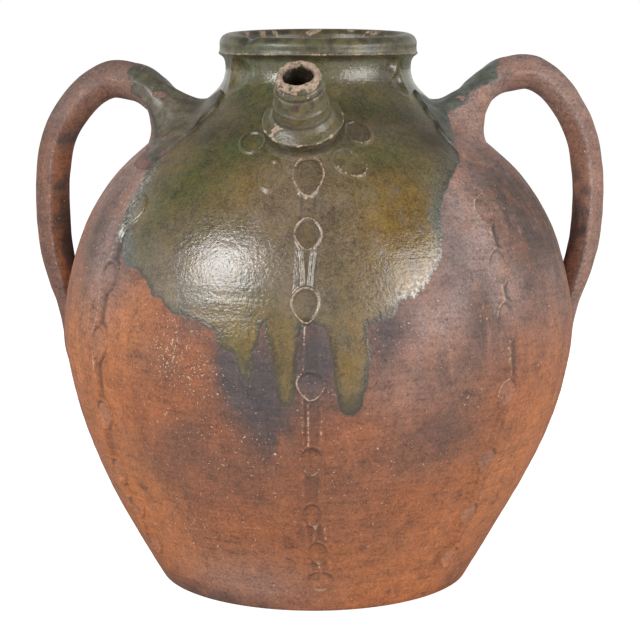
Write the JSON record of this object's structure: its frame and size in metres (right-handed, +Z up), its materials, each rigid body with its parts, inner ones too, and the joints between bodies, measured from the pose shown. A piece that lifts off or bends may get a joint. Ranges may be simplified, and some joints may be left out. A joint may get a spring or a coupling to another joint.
{
  "type": "earthenware oil jar",
  "caption": "Round-bellied earthenware oil jar with a banded rim, two strap handles, a pouring spout on the shoulder and thumb-pressed strips; olive glaze above bare clay.",
  "frame": {"origin": "centre of the flat foot, on the surface the jar stands on", "axes": "+Z up; -Y towards the front, where the spout is; +X to the right seen from the front, towards the right handle"},
  "size_m": [0.4458, 0.409, 0.4294],
  "materials": {
    "fired_clay": "coarse unglazed red earthenware, smoke-stained and worn",
    "lead_glaze": "glossy olive-green lead glaze, pitted, with amber runs"
  },
  "bodies": {
    "root": {"lower_body": "fired_clay", "belly_wall": "fired_clay", "shoulder": "lead_glaze", "neck_and_rim": "lead_glaze", "spout": "lead_glaze", "spout_luting": "lead_glaze", "left_handle": "fired_clay", "right_handle": "fired_clay", "front_strip": "fired_clay", "right_strip": "fired_clay", "left_strip": "fired_clay", "back_right_strip": "fired_clay", "back_strip": "fired_clay", "back_left_strip": "fired_clay"}
  },
  "joints": []
}
